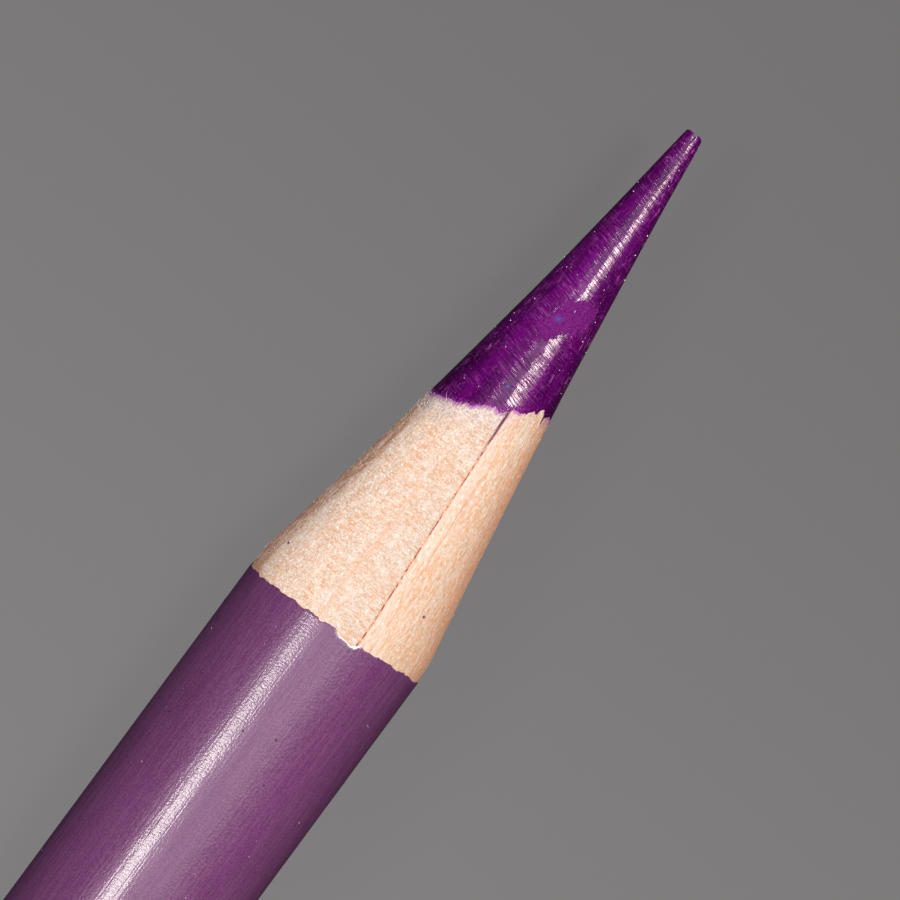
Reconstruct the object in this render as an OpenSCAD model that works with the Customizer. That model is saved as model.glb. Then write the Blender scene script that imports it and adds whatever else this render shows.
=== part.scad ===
// Round wood-cased colour pencil, sharpened, lying on its side.
// +X runs along the pencil to the point and +Z is up. The origin is under the middle of the
// pencil's length, on the surface that it lies on. Millimetres.

/* [Pencil] */
// Length from the dipped end to the point
total_length = 175; // [60:1:180]
// Diameter over the lacquer
barrel_d = 7.4; // [7:0.1:8]

/* [Colour core] */
// Diameter of the colour core
core_d = 4.0; // [3:0.1:4.2]
// How far the glue joint and the core lie from the middle of the barrel
joint_offset = 0.2; // [0:0.01:0.25]

/* [Sharpened point] */
// Length of the cut, from the barrel's full width to the tip
point_length = 21.3; // [16:0.1:24]
// Half angle of the cut at its wide end
edge_half_angle = 11.1; // [11:0.1:12]
// How far the brittle paint has flaked back behind the cut
paint_setback = 0.6; // [0.1:0.05:1]
// Diameter of the worn tip
tip_d = 0.7; // [0.5:0.02:1]
// Width of the chip broken out of the tip
chip_width = 0.14; // [0.08:0.01:0.2]
// Depth of the chip
chip_depth = 0.1; // [0.06:0.01:0.3]
// Turn of the chip round the pencil, away from the glue joint
chip_turn = 20; // [0:1:90]

/* [Glue and paint] */
// Thickness of the glue film between the slats
joint_glue_t = 0.05; // [0.04:0.01:0.1]
// Thickness of the glue film round the core
core_glue_t = 0.05; // [0.04:0.01:0.1]
// Thickness of the white primer
primer_t = 0.04; // [0.04:0.01:0.08]
// Thickness of the colour lacquer
lacquer_t = 0.06; // [0.05:0.01:0.1]

/* [Dipped end] */
// Length of barrel that the dip covers
dip_length = 9; // [5:0.5:15]
// Thickness of the dip on the barrel
dip_side_t = 0.06; // [0.04:0.01:0.1]
// Thickness of the dip at the middle of the end
dip_end_t = 0.22; // [0.2:0.01:0.3]
// Radius of the domed end under the dip
end_dome_r = 6; // [5.5:0.1:7]

/* [Hidden] */
$fn = 96;

barrel_r = barrel_d / 2;
core_r = core_d / 2;
groove_r = core_r + core_glue_t;
primer_r = barrel_r - lacquer_t;
wood_r = primer_r - primer_t;
dip_r = barrel_r + dip_side_t;
tip_r = tip_d / 2;
axis_z = dip_r;

// Places along the pencil's axis
tip_x = total_length / 2;
cut_x = tip_x - point_length;
paint_edge_x = cut_x - paint_setback;
end_x = -total_length / 2;
dome_center_x = end_x + dip_end_t + end_dome_r;
dip_edge_x = end_x + dip_length;

// The dip's own end is as deep as the domed end under it and the paint over that.
end_dome_depth = end_dome_r - sqrt(pow(end_dome_r, 2) - pow(barrel_r, 2));
dip_depth = dip_end_t + end_dome_depth;

// Cutting solids run this far past what they cut
past = 1;
point_steps = 12;
dome_steps = 16;

// The cut is slightly hollow: its slope eases off towards the tip.
edge_slope = tan(edge_half_angle);
hollow = (tip_r - barrel_r + edge_slope * point_length) / pow(point_length, 2);
function cut_r(u) = barrel_r - edge_slope * u + hollow * u * u;

// Stands its children, made along +Z about the Z axis, along the pencil's axis.
module along_pencil() {
    translate([0, 0, axis_z]) rotate([0, 90, 0]) children();
}

// The space that the sharpener leaves in front and that the domed end closes behind.
module sharpened_space() {
    cut = [
        for (i = [0 : point_steps])
            let (u = -past + (point_length + past) * i / point_steps)
            [cut_r(u), cut_x + u]
    ];
    wide_r = cut[0][0];
    intersection() {
        rotate_extrude()
            polygon(concat([[0, end_x - past], [wide_r, end_x - past]], cut, [[0, tip_x]]));
        union() {
            translate([0, 0, dome_center_x]) sphere(r = end_dome_r);
            translate([0, 0, dome_center_x])
                cylinder(r = (barrel_r + end_dome_r) / 2, h = total_length);
        }
    }
}

// Round stock longer than the pencil, about an axis offset sideways by y.
module stock(r, y = 0) {
    translate([0, y, end_x - 2 * past]) cylinder(r = r, h = total_length + 4 * past);
}

// A coat of paint between two radii, from the domed end to the edge of the paint.
module coat(r_in, r_out) {
    along_pencil() intersection() {
        difference() {
            translate([0, 0, end_x]) cylinder(r = r_out, h = paint_edge_x - end_x);
            stock(r_in);
        }
        sharpened_space();
    }
}

// Everything on one side of the glue film. side is 1 for +Y and -1 for -Y.
module half_space(side) {
    reach = 2 * barrel_r;
    mirror([0, side < 0 ? 1 : 0, 0])
        translate([-reach, side * joint_offset + joint_glue_t / 2, end_x - 3 * past])
        cube([2 * reach, reach, total_length + 6 * past]);
}

// The flake missing from the tip
module tip_chip() {
    rotate([0, 0, -chip_turn])
        translate([-barrel_r, -chip_width / 2, tip_x - chip_depth])
        cube([barrel_d, chip_width, past]);
}

module color_core() {
    color("indigo") along_pencil() difference() {
        intersection() {
            stock(core_r, joint_offset);
            sharpened_space();
        }
        tip_chip();
    }
}

module core_glue() {
    color("ivory") along_pencil() intersection() {
        difference() {
            stock(groove_r, joint_offset);
            stock(core_r, joint_offset);
        }
        sharpened_space();
    }
}

module slat(side) {
    along_pencil() intersection() {
        difference() {
            stock(wood_r);
            stock(groove_r, joint_offset);
        }
        half_space(side);
        sharpened_space();
    }
}

module left_slat() {
    color("navajowhite") slat(1);
}

module right_slat() {
    color("burlywood") slat(-1);
}

// Two films, one above the core and one below it
module joint_glue() {
    color("sienna") along_pencil() intersection() {
        difference() {
            stock(wood_r);
            stock(groove_r, joint_offset);
        }
        translate([-barrel_r, joint_offset - joint_glue_t / 2, end_x - past])
            cube([barrel_d, joint_glue_t, total_length + 2 * past]);
        sharpened_space();
    }
}

module primer_coat() {
    color("white") coat(wood_r, primer_r);
}

module color_lacquer() {
    color([0.43, 0.24, 0.41]) coat(primer_r, barrel_r);
}

// The end is dipped last, so its paint lies over the lacquer and over the bare domed end.
module end_dip() {
    dome = [
        for (i = [0 : dome_steps])
            let (a = 90 * i / dome_steps)
            [dip_r * sin(a), end_x + dip_depth * (1 - cos(a))]
    ];
    color([0.36, 0.18, 0.36]) along_pencil() difference() {
        rotate_extrude() polygon(concat(dome, [[dip_r, dip_edge_x], [0, dip_edge_x]]));
        intersection() {
            stock(barrel_r);
            sharpened_space();
        }
    }
}

color_core();
core_glue();
left_slat();
right_slat();
joint_glue();
primer_coat();
color_lacquer();
end_dip();
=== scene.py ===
import math

import bmesh
import bpy
import numpy as np
from mathutils import Matrix, Vector


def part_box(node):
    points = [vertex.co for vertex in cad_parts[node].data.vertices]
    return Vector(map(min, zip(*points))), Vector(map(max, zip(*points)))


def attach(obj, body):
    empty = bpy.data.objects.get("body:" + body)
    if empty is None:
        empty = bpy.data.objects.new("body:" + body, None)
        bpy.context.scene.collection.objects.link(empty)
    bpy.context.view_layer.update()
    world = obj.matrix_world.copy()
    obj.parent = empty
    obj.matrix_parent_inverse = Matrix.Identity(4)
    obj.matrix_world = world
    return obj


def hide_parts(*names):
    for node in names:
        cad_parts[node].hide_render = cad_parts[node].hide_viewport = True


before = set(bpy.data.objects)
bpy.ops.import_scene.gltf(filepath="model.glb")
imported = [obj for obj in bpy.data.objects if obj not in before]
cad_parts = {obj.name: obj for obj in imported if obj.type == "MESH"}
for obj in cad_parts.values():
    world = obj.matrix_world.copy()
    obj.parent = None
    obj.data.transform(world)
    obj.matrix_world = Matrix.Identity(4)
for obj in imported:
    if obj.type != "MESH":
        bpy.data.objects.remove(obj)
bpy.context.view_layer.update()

# Lengths are in millimetres until a mesh is made. "phi" goes round the pencil from the side that
# faces the camera, which leans BETA from straight up towards +Y, and "ahead" is the distance along
# +X from the start of the sharpener's cut.
MM = 0.001
PER_METRE = 1000.0
PI = math.pi
BETA = math.radians(20.7)


def box_mm(node):
    lo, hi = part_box(node)
    return np.array(lo) / MM, np.array(hi) / MM


# Sizes from the CAD model
lacquer_lo, lacquer_hi = box_mm("color_lacquer")
core_lo, core_hi = box_mm("color_core")
wood_lo = box_mm("right_slat")[0]
dip_lo, dip_hi = box_mm("end_dip")
BARREL_R = (lacquer_hi[1] - lacquer_lo[1]) / 2
AXIS_Z = (lacquer_hi[2] + lacquer_lo[2]) / 2
CORE_R = (core_hi[1] - core_lo[1]) / 2
OFFSET = (core_hi[1] + core_lo[1]) / 2
DIP_R = (dip_hi[1] - dip_lo[1]) / 2
TIP_X = core_hi[0]
PAINT_X = lacquer_hi[0]

# Sizes that repeat part.scad: the paint's setback, the cut's slope at its wide end, the radius of
# the tip and the thickness of the glue
SETBACK = 0.6
CUT_X = PAINT_X + SETBACK
POINT = TIP_X - CUT_X
SLOPE = math.tan(math.radians(11.1))
TIP_R = 0.35
HOLLOW = (TIP_R - BARREL_R + SLOPE * POINT) / POINT**2
GLUE = 0.05

# The bare wood behind the cut, where the paint has flaked off: its radius, and its length with
# what runs on under the paint
BARE_R = BARREL_R - 0.045
BARE_LENGTH = 0.85
# The core's visible wall lies a hair inside the CAD model's
CORE_WALL = CORE_R - 0.004


def cut_r(ahead):
    """The sharpened surface's distance from the barrel's axis."""
    return BARREL_R - SLOPE * ahead + HOLLOW * ahead * ahead


def smooth(lo, hi, v):
    """A soft step from 0 at lo to 1 at hi, which may be the smaller of the two."""
    k = np.clip((v - lo) / (hi - lo), 0.0, 1.0)
    return k * k * (3 - 2 * k)


def full_turn(n):
    return -PI + 2 * PI * np.arange(n) / n


def place(x, phi, r):
    """Points at a distance r from the barrel's axis."""
    x, phi, r = np.broadcast_arrays(x, phi, r)
    return np.stack([x, r * np.sin(BETA - phi), AXIS_Z + r * np.cos(BETA - phi)], -1)


def reach(phi, radius):
    """How far a circle about the core's middle lies from the barrel's axis."""
    k = OFFSET * np.sin(BETA - phi)
    return k + np.sqrt(radius**2 - OFFSET**2 + k * k)


def lattice(u, v, cells, seed):
    """Smooth noise from -1 to 1 that repeats in u after a number of cells."""
    table = np.random.default_rng(seed).uniform(-1, 1, (cells, 512))
    u, v = np.broadcast_arrays(u, v)
    iu, iv = np.floor(u).astype(int), np.floor(v).astype(int)
    fu, fv = u - iu, v - iv
    fu, fv = fu * fu * (3 - 2 * fu), fv * fv * (3 - 2 * fv)
    a, b, c, d = iu % cells, (iu + 1) % cells, iv % 512, (iv + 1) % 512
    low = table[a, c] * (1 - fu) + table[b, c] * fu
    high = table[a, d] * (1 - fu) + table[b, d] * fu
    return low * (1 - fv) + high * fv


def around(phi, x, cells, per_mm, seed, octaves=1):
    """Noise round and along the pencil, with a number of cells in a turn and in a millimetre."""
    total, weight = 0.0, 1.0
    for k in range(octaves):
        f = 2**k
        u, v = phi / (2 * PI) * cells * f, x * per_mm * f + 37.0 * k
        total = total + weight * lattice(u, v, cells * f, seed + k)
        weight *= 0.5
    return total


# ---------------------------------------------------------------- meshes


def zip_strip(a, b):
    """Triangles between two open rows of vertices that run the same way."""
    i = j = 0
    out = []
    while i < len(a) - 1 or j < len(b) - 1:
        a_is_next = (i + 1) * (len(b) - 1) <= (j + 1) * (len(a) - 1)
        if j == len(b) - 1 or (i < len(a) - 1 and a_is_next):
            out.append((a[i], a[i + 1], b[j]))
            i += 1
        else:
            out.append((a[i], b[j + 1], b[j]))
            j += 1
    return out


def grid_faces(index, wrap):
    """Quads over a 2-D array of vertex numbers; wrap joins its last column to its first."""
    right = np.roll(index, -1, axis=1) if wrap else index[:, 1:]
    left = index if wrap else index[:, :-1]
    q = np.stack([left[:-1], right[:-1], right[1:], left[1:]], -1)
    return [tuple(f) for f in q.reshape(-1, 4).tolist()]


class Shape:
    """Collects vertices, faces and per-vertex values for one piece."""

    def __init__(self):
        self.points, self.faces, self.values, self.count = [], [], {}, 0

    def add(self, points, **values):
        points = np.asarray(points, float)
        shape = points.shape[:-1]
        index = np.arange(self.count, self.count + points[..., 0].size).reshape(shape)
        self.points.append(points.reshape(-1, 3))
        for k, v in values.items():
            v = np.broadcast_to(v, shape).ravel()
            self.values.setdefault(k, []).append((self.count, v))
        self.count += index.size
        return index

    def close(self, row, x, **values):
        """A fan from a closed row of vertices to a point on the barrel's axis."""
        hub = int(self.add(place(np.array([x]), 0.0, 0.0), **values)[0])
        self.faces += [(int(a), int(b), hub) for a, b in zip(row, np.roll(row, -1))]

    def piece(self, name, material, slot, *nodes):
        """Makes the piece that takes the place of CAD nodes."""
        me = bpy.data.meshes.new(name)
        me.from_pydata((np.concatenate(self.points) * MM).tolist(), [], self.faces)
        for k, parts in self.values.items():
            full = np.zeros(self.count, np.float32)
            for start, v in parts:
                full[start : start + v.size] = v
            me.attributes.new(k, "FLOAT", "POINT").data.foreach_set("value", full)
        bm = bmesh.new()
        bm.from_mesh(me)
        bmesh.ops.recalc_face_normals(bm, faces=bm.faces)
        bm.to_mesh(me)
        bm.free()
        me.polygons.foreach_set("use_smooth", [True] * len(me.polygons))
        me.set_sharp_from_angle(angle=math.radians(55))
        me.materials.append(material)
        ob = bpy.data.objects.new(name, me)
        bpy.context.scene.collection.objects.link(ob)
        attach(ob, "root")
        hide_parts(*nodes)


# ---------------------------------------------------------------- materials


class Mat:
    """A material built from nodes. A noise takes its cells in a millimetre along X, Y and Z, its
    detail, its roughness and its distortion. A remap is a soft step between two values. Bump
    heights are in micrometres, unless a distance is given."""

    def __init__(self, name):
        self.m = bpy.data.materials.new(name)
        self.m.use_nodes = True
        self.nt = self.m.node_tree
        self.bsdf = next(n for n in self.nt.nodes if n.type == "BSDF_PRINCIPLED")

    def put(self, node, key, value):
        socket = node.inputs[key]
        if isinstance(value, bpy.types.NodeSocket):
            self.nt.links.new(value, socket)
        else:
            socket.default_value = value

    def node(self, kind, props=None, **inputs):
        n = self.nt.nodes.new(kind)
        for k, v in (props or {}).items():
            setattr(n, k, v)
        for k, v in inputs.items():
            self.put(n, k.replace("_", " "), v)
        return n

    def texture(self, vector, detail, rough, distortion=0.0):
        inputs = {"Detail": detail, "Roughness": rough, "Distortion": distortion}
        return self.node("ShaderNodeTexNoise", Vector=vector, Scale=1.0, **inputs).outputs[0]

    def noise(self, per_mm, detail, rough, distortion=0.0):
        place_of = self.node("ShaderNodeTexCoord").outputs["Object"]
        scale = tuple(PER_METRE * s for s in per_mm)
        scaled = self.node("ShaderNodeMapping", Vector=place_of, Scale=scale)
        return self.texture(scaled.outputs[0], detail, rough, distortion)

    def helix(self, along, round_it, lean):
        """Fine cuts that run round the point and lean along it."""
        place_of = self.node("ShaderNodeTexCoord").outputs["Object"]
        rows = (
            (along, -along * lean * math.cos(BETA), along * lean * math.sin(BETA)),
            (0.0, round_it, 0.0),
            (0.0, 0.0, round_it),
        )
        turned = self.node("ShaderNodeCombineXYZ")
        for axis, row in zip("XYZ", rows):
            dot = self.node("ShaderNodeVectorMath", {"operation": "DOT_PRODUCT"})
            self.put(dot, 0, place_of)
            self.put(dot, 1, tuple(PER_METRE * v for v in row))
            self.put(turned, axis, dot.outputs["Value"])
        return self.texture(turned.outputs[0], 2.0, 0.5)

    def value(self, name):
        """A value stored on the mesh's vertices."""
        return self.node("ShaderNodeAttribute", {"attribute_name": name}).outputs["Fac"]

    def remap(self, v, lo, hi, to_lo=0.0, to_hi=1.0):
        n = self.node("ShaderNodeMapRange", {"interpolation_type": "SMOOTHSTEP"}, Value=v)
        keys = ("From Min", "From Max", "To Min", "To Max")
        for key, number in zip(keys, (lo, hi, to_lo, to_hi)):
            self.put(n, key, number)
        return n.outputs[0]

    def math(self, op, a, b):
        n = self.node("ShaderNodeMath", {"operation": op})
        self.put(n, 0, a)
        self.put(n, 1, b)
        return n.outputs[0]

    def times(self, first, *rest):
        for v in rest:
            first = self.math("MULTIPLY", first, v)
        return first

    def plus(self, first, *rest):
        for v in rest:
            first = self.math("ADD", first, v)
        return first

    def one_minus(self, v):
        return self.math("SUBTRACT", 1.0, v)

    def mix(self, fac, a, b, blend="MIX"):
        n = self.node("ShaderNodeMix", {"data_type": "RGBA", "blend_type": blend})
        self.put(n, 0, fac)
        # inputs 6 and 7 are the two colours, and output 2 is the mixed one
        for key, v in ((6, a), (7, b)):
            if not isinstance(v, bpy.types.NodeSocket):
                v = (*v, 1.0)
            self.put(n, key, v)
        return n.outputs[2]

    def paint(self, col, *layers):
        """Colours laid over col one after another, each as strongly as its mask says."""
        for mask, tint in layers:
            col = self.mix(mask, col, tint)
        return col

    def bump(self, height, strength=1.0, distance=1e-6):
        inputs = {"Height": height, "Strength": strength, "Distance": distance}
        return self.node("ShaderNodeBump", **inputs).outputs[0]

    def finish(self, **inputs):
        for k, v in inputs.items():
            self.put(self.bsdf, k.replace("_", " "), v)
        return self.m

    def soiled(self, col, height, rough):
        """Wood with the core's pigment smeared over it where the masks say."""
        ragged = self.noise((5.0, 10.0, 10.0), 3.0, 0.7)
        for mask, spread, tint, most in (
            ("grey", 0.9, (0.6, 0.52, 0.53), 0.7),
            ("fringe", 0.8, (0.3, 0.05, 0.33), 0.8),
        ):
            k = self.plus(self.value(mask), self.times(ragged, spread))
            col = self.mix(self.remap(k, 0.75, 1.15, 0.0, most), col, tint)
        seam, grey = self.value("seam"), self.value("grey")
        grime = self.remap(self.noise((15.0, 7.0, 7.0), 2.0, 0.7), 0.5, 0.43, 0.0, 0.9)
        ink = self.times(seam, self.value("fringe"))
        col = self.paint(
            col,
            (self.times(seam, self.remap(ragged, 0.35, 0.6, 0.1, 0.85)), (0.62, 0.3, 0.19)),
            (self.times(grey, grime), (0.29, 0.2, 0.21)),
            (self.times(ink, self.remap(ragged, 0.36, 0.52, 0.3, 1.0)), (0.06, 0.005, 0.065)),
            (self.value("dot"), (0.1, 0.01, 0.12)),
            (self.times(self.value("hair"), 0.8), (0.98, 0.92, 0.87)),
        )
        self.finish(Base_Color=col, Roughness=rough, Normal=self.bump(height))
        return self.finish(IOR=1.45, Diffuse_Roughness=0.15)


def lead_material():
    """Deep violet, waxy where the sharpener has cut it and matte where it is scuffed or torn;
    painted shade on its sides and in its cuts, painted sheen on its cuts, painted glints on white
    crumbs.
    """
    m = Mat("violet_core")
    tone = m.noise((0.22, 1.9, 1.9), 4.0, 0.6)
    grain = m.noise((11.0, 11.0, 11.0), 3.0, 0.6)
    ragged = m.noise((6.0, 8.0, 8.0), 4.0, 0.7)
    torn = m.noise((10.0, 15.0, 15.0), 3.0, 0.7)
    spots = m.noise((0.9, 1.6, 1.6), 2.0, 0.5)
    dots = m.noise((15.0, 15.0, 15.0), 1.0, 0.5)
    pebble = m.noise((8.0, 9.0, 9.0), 1.0, 0.4)
    flank, shade = m.value("flank"), m.value("shade")

    # the scuffed patch with its pits, the smear at the wood, torn flecks and loose specks
    frayed = m.times(m.noise((2.6, 4.5, 4.5), 5.0, 0.8), 3.6)
    patch = m.remap(m.plus(m.value("scuff"), frayed), 2.31, 2.39)
    pit = m.remap(dots, 0.44, 0.37, 0.0, 0.9)
    smear = m.remap(m.plus(m.value("rim"), m.times(torn, 2.6)), 1.95, 2.2)
    stroke = m.noise((2.4, 8.0, 8.0), 3.0, 0.6, 0.6)
    fleck = m.times(m.remap(stroke, 0.6, 0.66), m.remap(spots, 0.42, 0.6), flank)
    speck = m.times(m.remap(dots, 0.69, 0.75), m.plus(0.12, flank))
    matte = m.math("MAXIMUM", m.math("MAXIMUM", patch, smear), m.times(fleck, 0.7))

    # the sharpener's cuts round the point, and scratches along it; where the point faces the
    # lights, painted shade darkens the grooves and takes their gloss, and painted sheen lightens
    # the crests
    wide = m.remap(m.helix(9.0, 0.45, 0.3), 0.48, 0.64)
    fine = m.remap(m.helix(17.0, 0.7, 0.27), 0.46, 0.62)
    middle = m.times(m.value("hatch"), m.remap(spots, 0.4, 0.58, 0.2, 1.0))
    furrow_shade = m.times(m.remap(m.helix(15.0, 1.2, 0.27), 0.5, 0.42), middle)
    ridge_sheen = m.times(m.remap(m.helix(18.0, 2.3, 0.27), 0.56, 0.63), middle)
    axial = m.remap(m.noise((1.6, 14.0, 14.0), 2.0, 0.6, 0.3), 0.6, 0.66)
    scratch = m.times(axial, m.plus(0.14, m.times(flank, m.remap(spots, 0.4, 0.58), 0.6)))

    col = m.mix(m.remap(tone, 0.36, 0.64), (0.05, 0.0003, 0.063), (0.1, 0.0008, 0.12))
    col = m.mix(m.remap(grain, 0.5, 0.75, 0.0, 0.35), col, (0.17, 0.01, 0.17))
    # painted shade: darker on both sides of the point, and a darker tip
    col = m.mix(shade, col, (0.62, 0.4, 0.62), "MULTIPLY")
    col = m.paint(
        col,
        (scratch, (0.33, 0.05, 0.35)),
        (m.times(fine, m.remap(spots, 0.4, 0.62, 0.05, 0.3)), (0.21, 0.022, 0.21)),
        # painted shade in the grooves and painted sheen on the crests, where the point faces the
        # lights
        (m.times(furrow_shade, 0.5), (0.04, 0.0003, 0.05)),
        (m.times(ridge_sheen, 0.32), (0.33, 0.1, 0.34)),
        (m.times(patch, m.remap(ragged, 0.34, 0.5, 0.55, 0.92)), (0.132, 0.0105, 0.148)),
        (m.times(patch, pit), (0.075, 0.001, 0.085)),
        (m.times(smear, m.remap(grain, 0.36, 0.6, 0.35, 0.8)), (0.27, 0.035, 0.3)),
        (fleck, (0.36, 0.07, 0.36)),
        (speck, (0.4, 0.1, 0.4)),
        (m.times(m.value("blue"), m.remap(ragged, 0.35, 0.6, 0.3, 1.0)), (0.03, 0.1, 0.42)),
        # painted glints: the near-white crumbs
        (m.value("dust"), (0.9, 0.82, 0.86)),
    )
    cuts = m.times(m.plus(m.times(wide, 3.2), m.times(fine, 4.0)), m.one_minus(matte))
    height = m.plus(cuts, m.times(pebble, 2.4), m.times(matte, ragged, 22.0))
    shine = m.math("SUBTRACT", 0.5, m.times(matte, 0.42))
    # less gloss where the grooves and the sides carry painted shade
    shine = m.times(shine, m.one_minus(m.times(furrow_shade, 0.75)), m.one_minus(m.times(shade, 0.45)))
    return m.finish(
        Base_Color=col,
        Roughness=m.plus(m.remap(grain, 0.3, 0.75, 0.13, 0.2), m.times(matte, 0.65)),
        Normal=m.bump(height),
        Specular_IOR_Level=shine,
        Specular_Tint=(1.0, 0.84, 0.9, 1.0),
    )


def left_wood():
    """Pale wood with short flecks across its grain and a fuzzy surface with painted glints;
    painted shade darkens its far side, in brown streaks, and the part towards the seam.
    """
    m = Mat("cream_wood")
    grain = m.noise((17.0, 14.0, 14.0), 3.0, 0.75)
    stroke = m.noise((17.0, 3.0, 3.0), 3.0, 0.65, 0.4)
    cross = m.noise((10.0, 1.7, 1.7), 3.0, 0.6, 0.6)
    region = m.noise((0.4, 1.9, 1.9), 2.0, 0.5)
    spark = m.noise((17.0, 12.0, 12.0), 1.0, 0.6)
    nap = m.noise((10.0, 8.0, 8.0), 1.0, 0.4)
    long = m.noise((0.3, 7.0, 7.0), 3.0, 0.6)
    band = m.noise((0.12, 1.5, 1.5), 2.0, 0.5)
    clump = m.noise((2.6, 3.2, 3.2), 2.0, 0.6)
    flank, near = m.value("flank"), m.value("near")
    where = m.plus(m.remap(region, 0.42, 0.56, 0.1, 0.85), m.times(near, 0.25))
    # painted glints: small near-white spots, made shinier and fewer towards the seam
    light = m.times(m.remap(spark, 0.62, 0.69, 0.0, 0.95), m.one_minus(m.times(near, 0.4)))
    col = m.paint(
        m.mix(m.remap(grain, 0.38, 0.62), (0.66, 0.435, 0.32), (0.87, 0.71, 0.59)),
        (m.remap(band, 0.46, 0.62, 0.0, 0.32), (0.82, 0.54, 0.4)),
        (m.times(m.remap(stroke, 0.54, 0.6, 0.0, 0.8), where), (0.72, 0.34, 0.16)),
        (m.remap(stroke, 0.45, 0.38, 0.0, 0.4), (0.95, 0.84, 0.74)),
        (m.times(m.remap(cross, 0.55, 0.62, 0.0, 0.75), where), (0.76, 0.39, 0.19)),
        (m.remap(long, 0.5, 0.7, 0.0, 0.25), (0.78, 0.5, 0.35)),
        # painted shade: the far side is darkened in brown streaks
        (m.times(flank, m.remap(long, 0.38, 0.58, 0.2, 0.85)), (0.46, 0.19, 0.09)),
        (m.remap(clump, 0.5, 0.66, 0.0, 0.3), (0.97, 0.88, 0.79)),
        (light, (1.0, 0.97, 0.94)),
        (m.times(m.value("line"), m.remap(long, 0.38, 0.55, 0.15, 0.8)), (0.84, 0.46, 0.3)),
    )
    # painted shade: the slat is darkened and cooled more towards the seam, where the lights fall
    # most directly, than on its far side
    col = m.mix(1.0, col, m.mix(near, (0.88, 0.88, 0.93), (0.685, 0.7, 0.76)), "MULTIPLY")
    # painted shade: the far side is darkened a little more
    col = m.mix(flank, col, (1.0, 0.95, 0.93), "MULTIPLY")
    height = m.plus(m.times(nap, 20.0), m.times(stroke, 10.0))
    return m.soiled(col, height, m.remap(light, 0.0, 0.8, 0.62, 0.3))


def right_wood():
    """Warmer wood with long streaks and pores along it and rays across it, and painted shade that
    darkens and browns its far side.
    """
    m = Mat("peach_wood")
    grain = m.noise((10.0, 12.0, 12.0), 4.0, 0.75)
    long = m.noise((1.3, 9.0, 9.0), 3.0, 0.65, 0.3)
    ray = m.noise((9.0, 2.4, 2.4), 3.0, 0.65, 0.6)
    region = m.noise((0.45, 0.9, 0.9), 2.0, 0.5)
    pore = m.noise((4.5, 10.0, 10.0), 2.0, 0.55, 0.3)
    nap = m.noise((5.0, 8.5, 8.5), 1.0, 0.4)
    fleck = m.noise((3.4, 13.0, 13.0), 2.0, 0.6, 0.3)
    pale = m.noise((5.0, 15.0, 15.0), 2.0, 0.6)
    flank, near = m.value("flank"), m.value("near")
    pored = m.plus(m.times(flank, 0.5), 0.5)
    rayed = m.remap(region, 0.42, 0.56, 0.15, 1.0)
    flecked = m.remap(region, 0.36, 0.52, 0.35, 1.0)
    col = m.paint(
        m.mix(m.remap(long, 0.38, 0.62), (0.84, 0.62, 0.485), (0.77, 0.475, 0.315)),
        (m.remap(grain, 0.32, 0.5, 0.5, 0.0), (0.66, 0.37, 0.23)),
        (m.remap(grain, 0.52, 0.7, 0.0, 0.5), (0.94, 0.79, 0.68)),
        (m.times(m.remap(pore, 0.57, 0.65, 0.0, 0.85), pored), (0.6, 0.26, 0.12)),
        (m.times(m.remap(ray, 0.54, 0.64, 0.0, 0.65), rayed), (0.74, 0.4, 0.22)),
        (m.times(near, m.remap(long, 0.35, 0.6, 0.3, 0.75)), (0.86, 0.59, 0.505)),
        (m.times(m.value("line"), m.remap(long, 0.35, 0.55, 0.25, 0.85)), (0.68, 0.32, 0.2)),
        # painted shade: the far side is darker and browner
        (m.times(flank, 0.35), (0.64, 0.38, 0.25)),
        (m.times(m.remap(fleck, 0.55, 0.61), flecked, 0.85), (0.84, 0.36, 0.155)),
        (m.remap(pale, 0.57, 0.66, 0.0, 0.45), (1.0, 0.92, 0.88)),
    )
    # painted shade: the tint is browner on the far side
    col = m.mix(1.0, col, m.mix(flank, (0.77, 0.82, 0.9), (0.84, 0.74, 0.74)), "MULTIPLY")
    height = m.plus(m.times(nap, 14.0), m.times(long, 9.0))
    return m.soiled(col, height, m.remap(grain, 0.3, 0.7, 0.65, 0.45))


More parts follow.
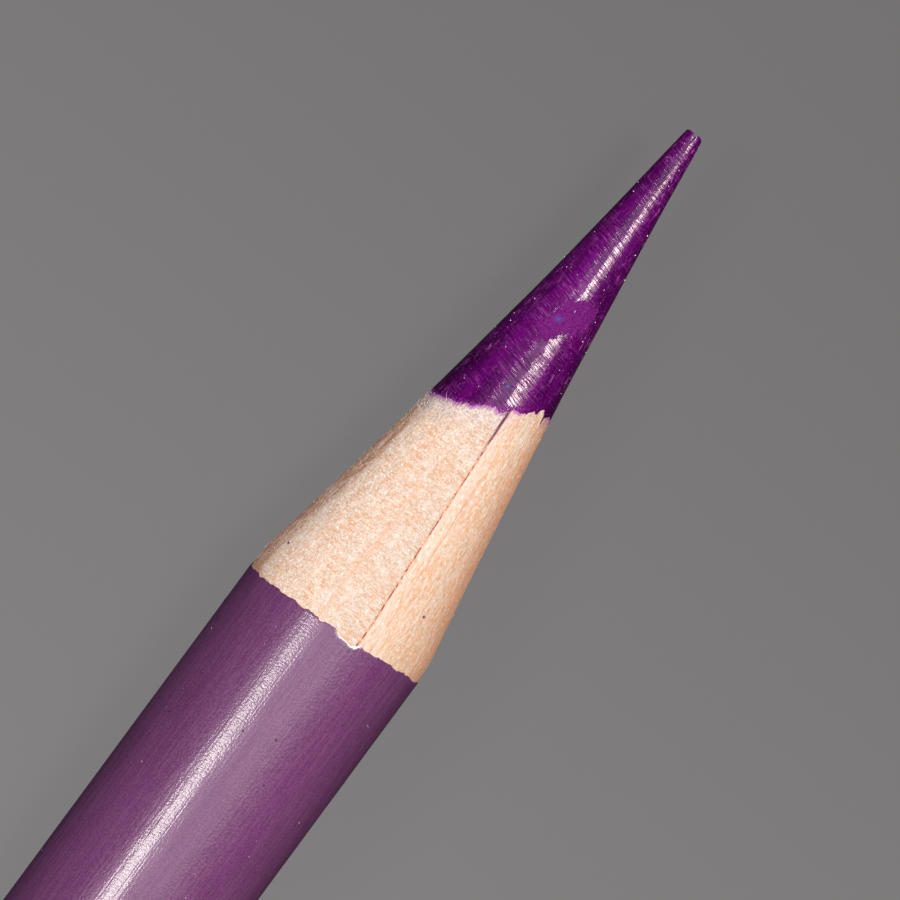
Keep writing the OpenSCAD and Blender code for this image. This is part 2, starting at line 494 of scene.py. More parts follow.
def lacquer_material(name, base, other):
    """A colour coat with orange peel, fine lines along the barrel and a clear gloss over it."""
    m = Mat(name)
    broad = m.noise((0.2, 0.5, 0.5), 2.0, 0.5)
    peel = m.noise((1.0, 1.8, 1.8), 2.0, 0.5)
    fine = m.noise((13.0, 15.0, 15.0), 0.0, 0.5)
    lines = m.noise((0.3, 11.0, 11.0), 1.0, 0.4)
    mottle = m.noise((2.4, 8.0, 8.0), 2.0, 0.6)
    hatch = m.noise((13.0, 4.0, 4.0), 1.0, 0.5)
    bloom = (0.3, 0.14, 0.28)
    col = m.paint(
        m.mix(m.remap(broad, 0.35, 0.7), base, other),
        (m.remap(lines, 0.42, 0.64, 0.0, 0.1), bloom),
        (m.remap(mottle, 0.5, 0.68, 0.0, 0.06), bloom),
        (m.remap(mottle, 0.44, 0.3, 0.0, 0.06), (0.07, 0.014, 0.065)),
        (m.remap(fine, 0.4, 0.65, 0.0, 0.09), bloom),
        (m.value("nib"), (0.02, 0.008, 0.02)),
        (m.value("dust"), (0.8, 0.72, 0.8)),
    )
    colour_coat = m.plus(m.times(peel, 7.0), m.times(fine, 7.0), m.times(lines, 4.0))
    gloss_coat = m.plus(m.times(peel, 6.0), m.times(fine, 2.4), m.times(hatch, 3.0))
    gloss_coat = m.plus(gloss_coat, m.times(lines, 8.0))
    return m.finish(
        Base_Color=col,
        Roughness=m.remap(fine, 0.3, 0.7, 0.3, 0.42),
        Normal=m.bump(colour_coat),
        Specular_IOR_Level=0.4,
        Specular_Tint=(1.0, 0.96, 1.0, 1.0),
        Coat_Weight=0.42,
        Coat_Roughness=0.155,
        Coat_IOR=1.5,
        Coat_Normal=m.bump(gloss_coat),
    )


def primer_material():
    m = Mat("white_primer")
    n = m.noise((14.0, 14.0, 14.0), 3.0, 0.6)
    return m.finish(
        Base_Color=m.mix(m.remap(n, 0.4, 0.7), (0.95, 0.93, 0.93), (0.78, 0.7, 0.73)),
        Roughness=m.remap(n, 0.3, 0.7, 0.4, 0.6),
        Normal=m.bump(n, 0.5, 1e-5),
    )


def glue_material(name):
    """Brown glue, stained with the core's pigment near the core."""
    m = Mat(name)
    n = m.noise((5.0, 8.0, 8.0), 3.0, 0.65)
    col = m.mix(m.remap(n, 0.42, 0.62), (0.2, 0.045, 0.04), (0.72, 0.38, 0.25))
    stain = m.times(m.value("fringe"), m.remap(n, 0.25, 0.5))
    return m.finish(
        Base_Color=m.mix(stain, col, (0.05, 0.004, 0.06)),
        Roughness=m.remap(n, 0.3, 0.7, 0.4, 0.7),
        Normal=m.bump(n, 0.6, 1e-5),
        Specular_IOR_Level=0.2,
    )


# ---------------------------------------------------------------- the core


def tip_height(side, depth):
    """How far the worn end reaches, at a place across it and a depth along the line of sight."""
    h = POINT + 0.02 * lattice(side * 9 + 3, depth * 9 + 5, 64, 5)
    h = h - 0.14 * (smooth(-0.07, 0.02, side) - smooth(0.045, 0.09, side))
    return h - 0.1 * smooth(0.22, 0.37, side) - 0.06 * smooth(0.28, 0.37, -side)


def core_masks(ahead, ph, side, front_side):
    """What the core's material reads, at each place on the point."""
    # the scuffed patch, in a frame turned with it, and the strokes that trail off to its left
    along, across = ahead - 13.07, side - 0.25
    p = along * 0.82 + across * 0.57
    q = -along * 0.57 + across * 0.82
    width = np.clip(0.56 + 0.16 * p, 0.36, 0.8)
    scuff = np.clip(1.4 - 0.85 * np.hypot(p / 1.25, q / width) ** 1.5, 0, 1)
    trail = np.exp(-(((ahead - 13.1) / 0.8) ** 2) - ((side + 1.0) / 0.55) ** 2)
    scuff = np.maximum(scuff, 0.5 * trail) * front_side

    # both sides of the point and the worn end are rougher, in patches
    flank = smooth(0.35, 0.75, ph) * smooth(1.7, 1.2, ph)
    flank = flank + 0.8 * smooth(-0.55, -0.85, ph) * smooth(-1.5, -1.2, ph)
    flank = flank + 0.7 * smooth(1.6, 2.2, np.abs(ph))
    flank = flank * (0.5 + 0.5 * smooth(-0.5, 0.4, around(ph, ahead, 8, 0.4, 81, 2)))
    worn_end = smooth(15.8, 18.6, ahead) * smooth(-1.0, 0.6, ph) * smooth(3.0, 2.2, np.abs(ph))
    flank = np.maximum(flank, 0.75 * worn_end)

    # three blue specks, the first of them faint and broken up
    blue = np.zeros_like(side)
    for a, b, size in ((13.0, -0.03, 0.17), (9.98, -0.06, 0.05), (14.0, -0.15, 0.04)):
        d = np.sqrt((ahead - a) ** 2 + (side - b) ** 2) / size
        blue = np.maximum(blue, smooth(1.2, 0.4, d + 0.5 * around(ph, ahead, 220, 12.0, 61)))
    blue = blue * front_side * np.where((ahead > 12.5) & (ahead < 13.5), 0.4, 1.0)

    from_wood = ahead - wood_end(ph[0], 0)[None, :]
    return dict(
        scuff=scuff,
        flank=flank,
        blue=blue,
        rim=0.85 * smooth(0.34, 0.0, from_wood) * smooth(1.0, 0.3, ph),
        # painted shade: deeper colour and less gloss on both sides of the point, away from the
        # face turned to the camera; the tip is also darker and less glossy
        shade=np.maximum(smooth(0.4, 0.95, np.abs(np.sin(ph))), 0.6 * smooth(16.5, 20.0, ahead)),
        # the face of the point towards the lights, where the cuts get painted shade and painted
        # sheen
        hatch=smooth(-0.95, -0.4, ph) * smooth(0.8, 0.45, ph),
    )


def make_core(material):
    s = Shape()
    phi = full_turn(288)
    ph = phi[None, :]
    rear, wall = core_lo[0], reach(phi, CORE_WALL)
    # the hidden length
    first = s.add(place(rear, phi, wall * 0.97))
    stations = (rear + 0.04, rear + 0.2, -60.0, -20.0, 20.0, 50.0, 65.0, CUT_X + 6.6)
    rings = [s.add(place(x, phi, wall)) for x in stations]
    # the point, from just inside the wood
    start = 7.0
    ahead = start + (POINT - start) * np.linspace(0, 1, 305)[:, None]
    r = cut_r(ahead)
    side, depth = r * np.sin(ph), r * np.cos(ph)
    masks = core_masks(ahead, ph, side, (depth > 0).astype(float))
    # slow waves, the sharpener's ribs, grit and the scuffed patch
    r = r + 0.009 * around(ph, ahead, 9, 0.35, 11, 2)
    r = r + 0.0022 * around(ph, ahead, 6, 4.5, 21, 2)
    r = r + 0.0022 * around(ph, ahead, 150, 7.0, 31, 2)
    worn = smooth(0.45, 0.7, masks["scuff"])
    r = r - 0.01 * worn + 0.004 * worn * around(ph, ahead, 90, 7.0, 41)
    # where the wood has broken away the core still fills the cut
    in_left_slat = np.sin(BETA - ph) * cut_r(ahead) > OFFSET
    wood = np.where(in_left_slat, wood_end(phi, 1)[None, :], wood_end(phi, -1)[None, :])
    r = np.minimum(r, reach(ph, CORE_WALL) + 0.16 * smooth(0.02, 0.07, ahead - wood))
    lift = smooth(POINT - 0.45, POINT, ahead)
    x = CUT_X + ahead + (tip_height(side, depth) - POINT) * lift
    point = s.add(place(x, ph, r), **masks)
    s.faces += grid_faces(np.vstack([first, *rings, point]), True)
    # the broken end
    last, end_r = point[-1], r[-1]
    for k in np.cos(np.linspace(0.25, PI / 2, 15))[:-1]:
        ring_r = end_r * k
        height = tip_height(ring_r * np.sin(phi), ring_r * np.cos(phi))
        ring = s.add(place(CUT_X + height + 0.012 * (1 - k), phi, ring_r), flank=0.8)
        s.faces += grid_faces(np.vstack([last, ring]), True)
        last = ring
    s.close(last, CUT_X + POINT - 0.05, flank=0.8)
    s.close(first, rear)
    # crumbs on the point, but not on the scuffed patch; six in ten are near-white, painted glints
    rng = np.random.default_rng(17)
    for _ in range(150):
        a = 8.6 + (POINT - 8.8) * rng.random() ** 0.9
        f = rng.uniform(-PI, PI)
        on_patch = abs(a - 13.0) < 1.2 and abs(f) < 0.7
        if on_patch or cut_r(a) > reach(f, CORE_R) - 0.05:
            continue
        white = float(rng.random() < 0.6)
        size = rng.uniform(0.009, 0.02)
        crumb(s, CUT_X + a, f, cut_r(a) + 0.004, size, rng, dust=white, flank=0.6)
    s.piece("core", material, "violet_core", "color_core")


# A crumb has four points round its middle, two poles and eight corners
CRUMB_MIDDLE = [[1, 0, 0], [0, 1, 0], [-1, 0, 0], [0, -1, 0], [0, 0, 1], [0, 0, -1]]
CRUMB_CORNERS = [
    [a * 0.62, b * 0.62, c * 0.9 * 0.62]
    for c in (1, -1)
    for a, b in ((1, 1), (-1, 1), (-1, -1), (1, -1))
]
CRUMB_FACES = []
for k in range(4):
    CRUMB_FACES += [(k, (k + 1) % 4, 6 + k), (k, 10 + k, (k + 1) % 4)]
for k in range(4):
    CRUMB_FACES += [(6 + (k - 1) % 4, k, 6 + k), (6 + (k - 1) % 4, 6 + k, 4)]
for k in range(4):
    CRUMB_FACES += [(10 + (k - 1) % 4, 10 + k, k), (10 + (k - 1) % 4, 5, 10 + k)]


def crumb(s, x, phi, r, size, rng, **values):
    """A small closed lump half sunk in the surface."""
    points = np.array(CRUMB_MIDDLE + CRUMB_CORNERS, float)
    points = points * rng.uniform(0.75, 1.25, (14, 1)) * size
    points = points * np.array([rng.uniform(1, 1.8), 1, 1])
    i = s.add(points + place(x, phi, r), **values).tolist()
    s.faces += [tuple(i[k] for k in face) for face in CRUMB_FACES]


# ---------------------------------------------------------------- the slats

# Notches in the right slat's front: three nicks, and a deep split at the edge of the piece that
# has broken away. Each is an angle, half a width and a depth.
NOTCHES = ((0.45, 0.07, 0.1), (0.583, 0.03, 0.13), (0.775, 0.035, 0.2), (1.0, 0.035, 0.55))
# Specks of pigment on the wood: the distance ahead and across, and the size
DOTS = ((1.6, 2.42, 0.05), (0.85, -3.03, 0.045), (6.1, -1.0, 0.025), (4.7, 0.45, 0.02))


def wood_end(phi, side):
    """Where the wood stops and the core comes out, ahead of the start of the cut. side is 1 for
    the left slat, -1 for the right one, and 0 for the smooth line that both would follow."""
    wall = reach(phi, CORE_R)
    ahead = np.full(np.shape(phi), 9.0)
    for _ in range(12):
        ahead = ahead - (cut_r(ahead) - wall) / (-SLOPE + 2 * HOLLOW * ahead)
    if side == 0:
        return ahead
    if side > 0:
        rag = 0.06 * around(phi, 0.0, 40, 1.0, 201, 2) + 0.075 * around(phi, 0.0, 250, 1.0, 203, 2)
        return ahead + (rag - 0.05 - 0.17 * smooth(-0.1, 0.25, phi))
    rag = 0.06 * around(phi, 0.0, 34, 1.0, 205, 2) + 0.06 * around(phi, 0.0, 240, 1.0, 207, 2)
    rag = rag - 0.07 - 0.09 * smooth(0.3, 0.5, phi)
    for at, wide, deep in NOTCHES:
        rag = rag - deep * np.exp(-(((phi - at) / wide) ** 2))
    # the piece that has broken away
    gone = smooth(0.95, 1.03, phi) * smooth(2.3, 1.6, phi)
    return ahead + (rag - (0.26 + 0.34 * smooth(1.1, 1.5, phi)) * gone)


def at_seam(gap):
    """1 on the glue line, fading within a few hundredths of a millimetre from it."""
    return np.exp(-((gap / 0.045) ** 2))


def slat_masks(side, x, phi, r, left_in, seam_gap):
    """What the wood's material reads. left_in is the length of wood still ahead of a place."""
    ahead = x - CUT_X
    seam = at_seam(seam_gap)
    # the smear of pigment at the core, and the grey soiling behind it
    fringe = np.clip(1.0 - left_in / 0.34, 0, 1) * 0.85
    ragged = left_in + 0.3 * around(phi, x, 60, 1.3, 351, 3)
    grey = 0.8 * np.clip(1.0 - ragged / 1.3, 0, 1)
    if side > 0:
        band = 0.12 * around(phi, x, 12, 0.15, 361, 2)
        # painted shade: flank marks the left slat's far side, which its material darkens
        flank = smooth(0.98, 1.12, -phi + band) * smooth(-0.6, 0.6, 8.5 - ahead)
        # painted shade: near marks the part towards the seam, which the left slat's material
        # darkens
        near = smooth(-0.9, 0.2, phi)
        from_line = phi + 0.163 + 0.012 * around(phi, x, 5, 0.3, 365)
        line = np.exp(-((from_line / 0.013) ** 2)) * smooth(7.0, 4.5, ahead)
    else:
        grey = grey * 0.5
        fringe = fringe * (1 - 0.75 * smooth(0.4, 0.6, phi) * smooth(1.2, 1.0, phi))
        far_side = smooth(1.1, 0.1, left_in) * smooth(1.03, 1.1, phi)
        seam_side = smooth(1.8, 0.1, left_in) * smooth(0.95, 0.1, seam_gap)
        fringe = np.maximum(np.maximum(fringe, 0.55 * far_side), 0.48 * seam_side)
        # painted shade: flank marks the right slat's far side, which its material darkens and
        # browns
        flank = smooth(0.75, 1.35, phi)
        near = np.exp(-((seam_gap / 0.42) ** 2))
        from_line = seam_gap - 0.5 - 0.06 * around(phi, x, 5, 0.25, 363)
        line = np.exp(-((from_line / 0.03) ** 2))
    fringe = np.maximum(fringe, seam * smooth(2.6, 0.3, left_in))
    dot = np.zeros_like(x)
    for a, b, size in DOTS:
        gap = np.hypot(ahead - a, r * np.sin(phi) - b) / size
        dot = np.maximum(dot, smooth(1.3, 0.7, gap) * (np.cos(phi) > 0))
    return dict(fringe=fringe, grey=grey, dot=dot, flank=flank, near=near, line=line, seam=seam)


def make_slat(side, name, material, slot, node):
    """One half of the casing. side is 1 for the left slat, on +Y, and -1 for the right one."""
    s = Shape()
    seam_y = OFFSET + side * GLUE / 2
    # points across the outside, closer together at the seams, and across the groove
    f = np.linspace(0, 1, 264)
    f = f - 0.1 * np.sin(2 * PI * f) / PI
    g = np.linspace(0, 1, 26)

    def sweep(fraction, start):
        """Angles from the upper seam round the slat to the lower one."""
        if side > 0:
            return BETA - (start + fraction * (PI - 2 * start))
        return BETA - (start - fraction * (PI + 2 * start))

    def angle(fraction, r):
        return sweep(fraction, np.arcsin(seam_y / r))

    x0 = CUT_X - BARE_LENGTH
    front = CUT_X + wood_end(angle(f, CORE_R + 0.1), side)
    k = np.linspace(0, 1, 286)[:, None]
    x = x0 + (front[None, :] - x0) * k
    cut = cut_r(x - CUT_X)
    r = np.minimum(BARE_R, cut)
    r = r - 0.012 * np.exp(-(((cut - BARE_R) / 0.03) ** 2))
    phi = angle(f[None, :], r)
    left_in = front[None, :] - x
    seam_gap = np.abs(r * np.sin(BETA - phi) - seam_y)
    if side > 0:
        rough = 0.009 * around(phi, x, 46, 1.6, 301, 3) + 0.007 * around(phi, x, 330, 11.0, 311, 2)
    else:
        rough = 0.01 * around(phi, x, 42, 0.5, 321, 3) + 0.004 * around(phi, x, 260, 5.0, 331, 2)
    # the wood sinks under the paint, dips at the seam and lifts at its torn front
    under = smooth(0.1, 0.0, x - x0)
    quiet = 0.3 + 0.7 * smooth(0.1, 0.5, x - x0)
    lip = smooth(0.35, 0.0, left_in)
    r = r + rough * quiet * (1 - under) - 0.009 * at_seam(seam_gap) + 0.012 * lip
    r = r - 0.06 * under
    phi = angle(f[None, :], r)
    outer = s.add(place(x, phi, r), **slat_masks(side, x, phi, r, left_in, seam_gap))
    # the groove side, with the same stations and fewer points across
    front_in = np.interp(g, f, front)[None, :]
    x_in = x0 + (front_in - x0) * k
    groove = CORE_R + GLUE
    start = math.atan2(seam_y, math.sqrt(groove**2 - (seam_y - OFFSET) ** 2))
    phi_in = sweep(g, start)[None, :]
    r_in = np.minimum(reach(phi_in, groove), np.minimum(BARE_R, cut_r(x_in - CUT_X)) - 0.03)
    inner = s.add(place(x_in, phi_in, r_in), fringe=smooth(0.4, 0.0, front_in - x_in))
    # the hidden length under the paint
    rear_x, hidden_r = wood_lo[0], BARREL_R - 0.1
    rear_outer, rear_inner = [], []
    for back_x, back_r in (
        (rear_x + 0.9, BARREL_R - 0.3),
        (rear_x + 1.1, hidden_r),
        (-40.0, hidden_r),
        (10.0, hidden_r),
        (45.0, hidden_r),
        (x0 - 0.6, hidden_r),
    ):
        rear_outer.append(s.add(place(back_x, angle(f, back_r), back_r)))
        rear_inner.append(s.add(place(back_x, phi_in[0], reach(phi_in[0], groove))))
    outer = np.vstack([*rear_outer, outer])
    inner = np.vstack([*rear_inner, inner])
    s.faces += grid_faces(outer, False) + grid_faces(inner, False)
    for edge in (0, -1):
        s.faces += grid_faces(np.stack([outer[:, edge], inner[:, edge]], 1), False)
    for end in (0, -1):
        s.faces += zip_strip(outer[end].tolist(), inner[end].tolist())
    # torn fibres, three in ten of them gathered at the wood's torn front
    rng = np.random.default_rng(400 + side)
    for _ in range(2300 if side > 0 else 200):
        i = int(rng.integers(0, len(f)))
        back = rng.exponential(0.5) if rng.random() < 0.3 else rng.uniform(0, 9)
        root_x = front[i] - 0.02 - back
        if root_x < CUT_X - 0.4:
            continue
        root_r = min(BARE_R, cut_r(root_x - CUT_X))
        root_phi = float(angle(f[i], root_r))
        fibre(s, root_x, root_phi, root_r - 0.006, rng, 0.8 * math.exp(-back / 0.12))
    s.piece(name, material, slot, node)


def fibre(s, x, phi, r, rng, fringe):
    """A thin closed hair that leans off the surface."""
    base = place(x, phi, r)
    out = np.array([0.0, math.sin(BETA - phi), math.cos(BETA - phi)])
    ahead = np.array([1.0, 0.0, 0.0])
    turn = rng.normal(0, 0.9)
    along = ahead * math.cos(turn) + np.cross(out, ahead) * math.sin(turn)
    length = 0.035 + 0.05 * rng.random() + 0.17 * rng.random() ** 8
    thick, lean, curl = rng.uniform(0.0035, 0.0065), rng.uniform(0.02, 0.5), rng.uniform(-0.5, 0.3)
    side = np.cross(along, out)
    rows = []
    for q in (0.0, 1 / 3, 2 / 3, 1.0):
        p = base + length * (q * along + (lean * q + curl * 0.25 * q * q) * out)
        w = thick * (1.0 - 0.65 * q)
        corners = np.array([p + w * side, p - w * side, p + w * 1.2 * out])
        rows.append(s.add(corners, fringe=fringe, hair=1.0))
    s.faces += grid_faces(np.array(rows), True)
    s.faces += [tuple(int(v) for v in rows[0]), tuple(int(v) for v in rows[-1])]


# ---------------------------------------------------------------- glue


def wander(x, per_mm, row, seed):
    """Noise along the pencil, on a row of its own."""
    return lattice(x * per_mm, np.full_like(x, row), 512, seed)


def make_joint_glue(material):
    """The film between the slats: a strip above the core and one below it."""
    s = Shape()
    for up in (1, -1):
        seam_phi = BETA if up > 0 else BETA - PI
        front = CUT_X + float(wood_end(np.array([seam_phi]), 1)[0]) - 0.02
        hidden = [wood_lo[0] + 1.0, -40.0, 10.0, 50.0, CUT_X - 1.2, CUT_X - 0.9]
        x = np.concatenate([hidden, np.linspace(CUT_X - 0.8, front, 300)])
        top = np.minimum(BARE_R, cut_r(x - CUT_X)) - 0.007
        top = np.where(x < CUT_X - BARE_LENGTH, BARREL_R - 0.11, top)
        waves = wander(x, 2.0, 3.3 + up, 501) + 0.5 * wander(x, 7.0, 9.1 + up, 502)
        z_top = np.sqrt(top**2 - OFFSET**2) + 0.006 * waves
        low = np.minimum(CORE_R + GLUE, z_top - 0.05)
        half = 0.0262 + 0.002 * wander(x, 5.0, 1.7 + up, 503)
        shift = 0.007 * wander(x, 1.3, 6.6 + up, 504)
        shift = shift + 0.006 * wander(x, 4.5, 2.2 + up, 505)
        rows = []
        for across, z, moves in (
            (-1.0, low, 0),
            (-1.0, z_top - 0.002, 1),
            (-0.4, z_top, 1),
            (0.4, z_top, 1),
            (1.0, z_top - 0.002, 1),
            (1.0, low, 0),
        ):
            y = OFFSET + across * half + shift * moves
            rows.append(np.stack([x, y, AXIS_Z + up * z], -1))
        idx = s.add(np.stack(rows, 1), fringe=smooth(2.2, 0.2, front - x)[:, None])
        s.faces += grid_faces(idx, True)
        s.faces += [tuple(idx[0].tolist()), tuple(idx[-1].tolist())]
    s.piece("joint_glue_line", material, "brown_glue", "joint_glue")


def make_core_glue(material):
    """The film round the core. All of it is hidden."""
    s = Shape()
    phi = full_turn(96)
    outside, inside = reach(phi, CORE_R + GLUE - 0.004), reach(phi, CORE_R)
    rear = core_lo[0] + 0.9
    length = CUT_X + wood_end(phi, 1) - 0.9 - rear
    rows = [s.add(place(rear + length * share, phi, outside)) for share in (0.0, 0.5, 0.9, 1.0)]
    rows += [s.add(place(rear + length * share, phi, inside)) for share in (1.0, 0.5, 0.0)]
    s.faces += grid_faces(np.array([*rows, rows[0]]), True)
    s.piece("core_glue_sleeve", material, "pale_glue", "core_glue")


# ---------------------------------------------------------------- paint


def paint_front(phi):
    """The broken edge of the lacquer, as an offset along X from the paint edge."""
    e = 0.05 * around(phi, 0.0, 7, 1.0, 601, 2) + 0.05 * around(phi, 0.0, 26, 1.0, 611, 2)
    e = e + 0.035 * around(phi, 0.0, 110, 1.0, 621, 3)
    e = e + 0.09 * np.sin(phi) * (np.cos(phi) > 0)
    # two chips
    e = e - 0.19 * smooth(0.03, 0.1, phi) * smooth(0.35, 0.3, phi)
    return e - 0.1 * smooth(-0.17, -0.13, phi) * smooth(-0.07, -0.11, phi)


def primer_front(phi):
    """The edge of the primer, which shows in front of the lacquer in its larger chip."""
    show = smooth(0.06, 0.12, phi) * smooth(0.37, 0.31, phi)
    rag = 0.35 + 0.65 * smooth(-0.3, 0.3, around(phi, 0.0, 60, 1.0, 631, 2))
    return paint_front(phi) - 0.04 + show * (0.03 + 0.11 * rag)


def make_sleeve(name, material, slot, node, radii, edge, rear_x, peel):
    """A coat with a broken front edge: out along its outside and back along its inside. radii are
    its outside, the foot of its edge and its inside."""
    s = Shape()
    phi = full_turn(384)
    r_out, r_edge, r_in = radii
    far = np.linspace(rear_x, PAINT_X - 16.0, 60)
    near = np.linspace(PAINT_X - 15.6, PAINT_X - 0.9, 118)
    fine = PAINT_X - 0.86 * (1 - np.linspace(0, 1, 26) ** 0.7)
    rows = []
    for x in np.concatenate([far, near, fine]):
        follow = float(smooth(PAINT_X - 1.0, PAINT_X, x))
        bump = 0.0016 * around(phi, x, 44, 1.1, 701, 2) + 0.0008 * around(phi, x, 160, 0.5, 711)
        drop = 0.006 * smooth(PAINT_X - 0.06, PAINT_X, x)
        rows.append(s.add(place(x + follow * edge(phi), phi, r_out + peel * bump - drop)))
    front = PAINT_X + edge(phi)
    crumbled = 0.01 * around(phi, 1.0, 180, 1.0, 721)
    for x, r in (
        (front + 0.006, r_out - 0.014),
        (front + 0.008 + crumbled, r_edge),
        (front - 0.35, r_edge),
        (front - 0.5, r_in),
        ((rear_x + PAINT_X) / 2, r_in),
        (rear_x, r_in),
    ):
        rows.append(s.add(place(x, phi, r)))
    s.faces += grid_faces(np.array([*rows, rows[0]]), True)
    # specks in the lacquer, dark and pale
    rng = np.random.default_rng(731)
    for _ in range(int(900 * peel)):
        x, f = rng.uniform(rear_x + 9.0, PAINT_X - 0.9), rng.uniform(-PI, PI)
        dark = float(rng.random() < 0.65)
        size = rng.uniform(0.01, 0.022) * (1 + 0.7 * dark)
        crumb(s, x, f, r_out, size, rng, nib=dark, dust=(1 - dark) * 0.5)
    s.piece(name, material, slot, node)


def make_dip(material):
    """The domed end, and the dip's sleeve with its rolled front edge."""
    s = Shape()
    phi = full_turn(288)
    x_end, front = dip_lo[0], dip_hi[0]
    dome, inside_r = 1.5, BARREL_R + 0.0012
    rows = []
    for a in np.linspace(0.03, PI / 2, 60):
        x = x_end + dome * (1 - math.cos(a))
        wave = 0.004 * around(phi, a * 2, 5, 1.0, 801) * (1 - math.sin(a) ** 0.92)
        rows.append(s.add(place(x + wave, phi, DIP_R * math.sin(a))))
    for x in np.linspace(x_end + dome + 0.15, front - 0.9, 70):
        bump = 0.0015 * around(phi, x, 30, 0.9, 821, 2)
        rows.append(s.add(place(x, phi, DIP_R + bump - 0.002)))
    run = 0.09 * around(phi, 0.0, 6, 1.0, 811, 2)
    for back, drop in (
        (0.6, 0.0),
        (0.4, 0.0),
        (0.25, 0.002),
        (0.14, 0.008),
        (0.07, 0.018),
        (0.03, 0.032),
        (0.01, 0.046),
        (0.0, 0.058),
    ):
        rows.append(s.add(place(front - back + run - 0.12, phi, DIP_R - drop)))
    rows.append(s.add(place(front - 0.3 + run, phi, inside_r)))
    rows.append(s.add(place(x_end + dome, phi, inside_r)))
    for k in (0.8, 0.5, 0.2):
        rows.append(s.add(place(x_end + 0.25 + 1.2 * k**2, phi, BARREL_R * k)))
    s.faces += grid_faces(np.array(rows), True)
    s.close(rows[0], x_end)
    s.close(rows[-1], x_end + 0.25)
    s.piece("end_dip_cap", material, "dark_dip", "end_dip")


make_core(lead_material())
make_slat(1, "left_slat_shell", left_wood(), "cream_wood", "left_slat")
make_slat(-1, "right_slat_shell", right_wood(), "peach_wood", "right_slat")
make_joint_glue(glue_material("brown_glue"))
make_core_glue(glue_material("pale_glue"))
make_sleeve(
    "primer_sleeve",
    primer_material(),
    "white_primer",
    "primer_coat",
    (BARREL_R - 0.014, BARREL_R - 0.042, BARREL_R - 0.1),
    primer_front,
    lacquer_lo[0] + 0.4,
    peel=0.0,
)
make_sleeve(
    "lacquer_sleeve",
    lacquer_material("plum_lacquer", (0.107, 0.0265, 0.105), (0.117, 0.03, 0.115)),
    "plum_lacquer",
    "color_lacquer",
    (BARREL_R, BARREL_R - 0.03, BARREL_R - 0.06),
    paint_front,
    lacquer_lo[0] + 0.2,
    peel=1.0,
)
make_dip(lacquer_material("dark_dip", (0.092, 0.02, 0.083), (0.103, 0.024, 0.094)))

# ---------------------------------------------------------------- stage, lights and camera

# From here on, places and distances are in metres

# Directions in the photograph: along the pencil, across it to the right, and towards the camera
AXIS = np.array([1.0, 0.0, 0.0])
SIDE = np.array([0.0, -math.cos(BETA), math.sin(BETA)])
VIEW = np.array([0.0, math.sin(BETA), math.cos(BETA)])
# What the middle of the picture shows
TARGET = np.array([CUT_X + 6.93, 0.0, AXIS_Z]) * MM - SIDE * 0.36 * MM

# The pencil lies 53.58 degrees from level in the picture
LEAN = math.radians(53.58)
CAMERA_DISTANCE = 0.2
LENS, SENSOR = 222.4, 36.0


def make_floor():
    """Plain paper that glows softly, a little lighter under the barrel than under the point."""
    me = bpy.data.meshes.new("floor")
    me.from_pydata([(-6, -6, 0), (6, -6, 0), (6, 6, 0), (-6, 6, 0)], [], [(0, 1, 2, 3)])
    ob = bpy.data.objects.new("floor", me)
    bpy.context.scene.collection.objects.link(ob)
    m = Mat("floor_paper")
    place_of = m.node("ShaderNodeTexCoord").outputs["Object"]
    x = m.node("ShaderNodeSeparateXYZ", Vector=place_of).outputs["X"]
    glow = m.remap(x, (CUT_X - 30) * MM, (CUT_X + 38) * MM, 1.164, 0.796)
    m.finish(Base_Color=(0.02, 0.02, 0.02, 1), Roughness=0.9, Specular_IOR_Level=0.0)
    paper = m.finish(Emission_Color=(0.177, 0.1715, 0.1735, 1), Emission_Strength=glow)
    me.materials.append(paper)
    return ob


def make_world():
    world = bpy.data.worlds.new("world")
    bpy.context.scene.world = world
    world.use_nodes = True
    background = world.node_tree.nodes["Background"]
    background.inputs["Color"].default_value = (0.19, 0.185, 0.185, 1)
    background.inputs["Strength"].default_value = 0.08


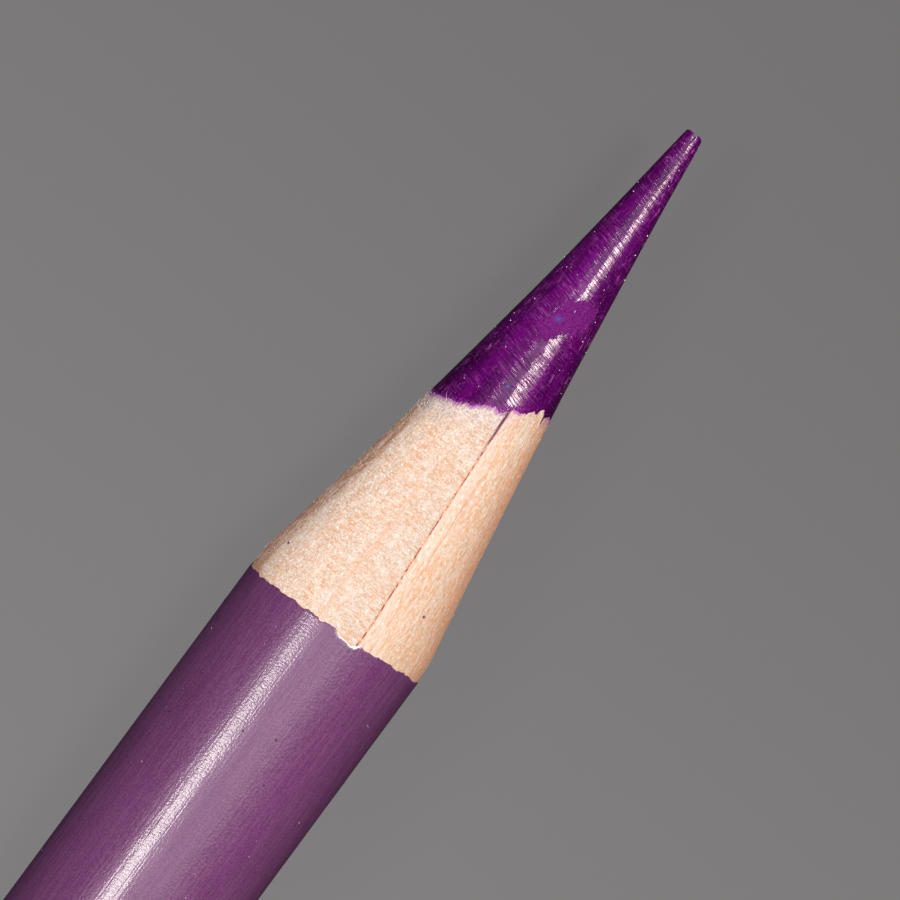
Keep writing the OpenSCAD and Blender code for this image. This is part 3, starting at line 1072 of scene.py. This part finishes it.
def softbox(name, along, across, distance, length, width, radiance, colour):
    """A rectangular light, seen from the target in a direction along and across the pencil."""
    toward = AXIS * along + SIDE * across + VIEW * math.sqrt(1 - along**2 - across**2)
    data = bpy.data.lights.new(name, "AREA")
    data.shape = "RECTANGLE"
    data.size, data.size_y = length, width
    data.energy = radiance * length * width * PI
    data.color = colour
    ob = bpy.data.objects.new(name, data)
    bpy.context.scene.collection.objects.link(ob)
    z = toward / np.linalg.norm(toward)
    x = AXIS - z * (AXIS @ z)
    x = x / np.linalg.norm(x)
    m = Matrix(np.column_stack([x, np.cross(z, x), z]).tolist()).to_4x4()
    m.translation = Vector(TARGET + toward * distance)
    ob.matrix_world = m
    ob.visible_camera = False


def make_camera():
    camera = bpy.data.objects.new("camera", bpy.data.cameras.new("camera"))
    bpy.context.scene.collection.objects.link(camera)
    right = math.cos(LEAN) * AXIS + math.sin(LEAN) * SIDE
    up = math.sin(LEAN) * AXIS - math.cos(LEAN) * SIDE
    m = Matrix(np.column_stack([right, up, VIEW]).tolist()).to_4x4()
    m.translation = Vector(TARGET + VIEW * CAMERA_DISTANCE)
    camera.matrix_world = m
    camera.data.lens, camera.data.sensor_width = LENS, SENSOR
    camera.data.clip_start, camera.data.clip_end = 0.01, 50.0
    bpy.context.scene.camera = camera


floor = make_floor()
floor.visible_glossy = False
make_world()

# Two wide softboxes from the camera's side, then the strips whose reflections streak the pencil
SOFT_WHITE = (1.0, 0.985, 0.975)
softbox("front_softbox", 0.12, 0.13, 0.5, 0.62, 0.44, 1.47, SOFT_WHITE)
softbox("wide_softbox", 0.1, 0.1, 0.52, 0.8, 1.1, 0.2, SOFT_WHITE)
softbox("barrel_strip", -0.185, -0.366, 0.45, 0.1, 0.1, 35.0, (1.0, 0.98, 0.91))
softbox("point_strip", 0.29, 0.39, 0.45, 0.085, 0.12, 43.0, (1.0, 0.96, 0.82))
softbox("point_strip_side", 0.29, 0.6, 0.45, 0.09, 0.1, 10.5, (1.0, 0.95, 0.84))

make_camera()
bpy.context.scene.view_settings.view_transform = "Standard"
